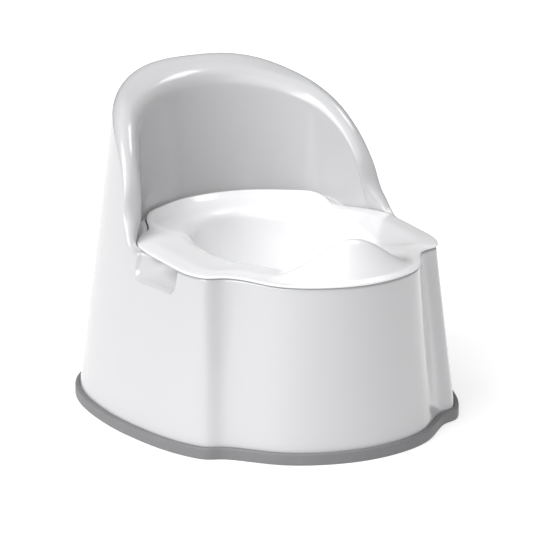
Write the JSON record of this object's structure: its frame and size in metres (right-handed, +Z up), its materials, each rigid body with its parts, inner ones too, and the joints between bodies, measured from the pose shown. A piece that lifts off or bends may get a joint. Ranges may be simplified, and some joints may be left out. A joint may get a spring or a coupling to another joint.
{
  "type": "potty training chair",
  "caption": "Potty training chair: wrap-around backrest shell, lift-out bowl with splash guard and finger ears, and a non-slip base ring.",
  "frame": {"origin": "on the floor, in the middle of the base", "axes": "+Z up, the child faces -Y, +Y points to the back, +X to the right seen from the front"},
  "size_m": [0.329, 0.3659, 0.2966],
  "materials": {
    "shell": "light grey injection-moulded polypropylene, glossy",
    "bowl": "white injection-moulded polypropylene, glossy",
    "ring": "dark grey soft thermoplastic elastomer, satin"
  },
  "bodies": {
    "chair": {"outer_shell": "shell", "base_ring": "ring"},
    "bowl": {"inner_bowl": "bowl"}
  },
  "joints": [
    {"name": "bowl_lift", "type": "slide", "parent": "chair", "child": "bowl", "axis": [0, -0.5, 0.866], "range_m": [0, 0.25]}
  ]
}
